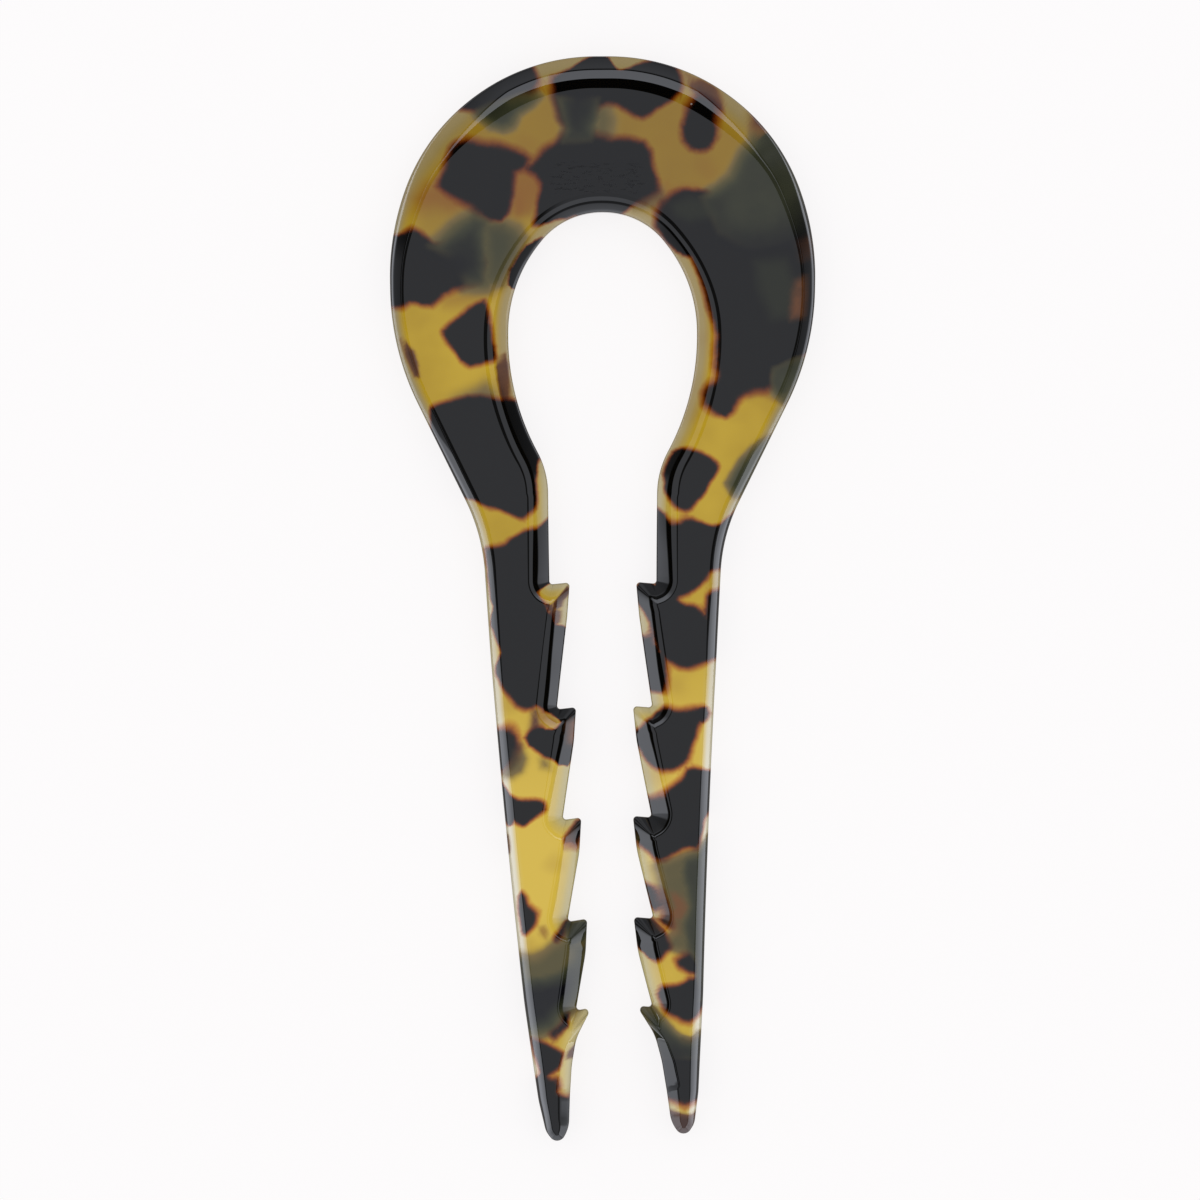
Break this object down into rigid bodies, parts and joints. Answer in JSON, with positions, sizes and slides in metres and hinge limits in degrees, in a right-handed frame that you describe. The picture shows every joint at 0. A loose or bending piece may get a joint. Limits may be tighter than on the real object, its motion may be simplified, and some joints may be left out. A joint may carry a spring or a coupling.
{
  "type": "french hair pin",
  "caption": "Flat U-shaped hair pin of tortoiseshell acetate, with a wide open ring head, a narrow neck, and prongs barbed along their inner edges.",
  "frame": {"origin": "middle of the outline's box, on the flat back that the pin lies on", "axes": "+Z out of the front face, +Y from the prong tips to the top of the head, +X to the right seen from the front"},
  "size_m": [0.045, 0.1146, 0.0042],
  "materials": {
    "acetate": "polished tortoiseshell, amber with black and brown chips"
  },
  "bodies": {
    "root": {"pin": "acetate"}
  },
  "joints": []
}
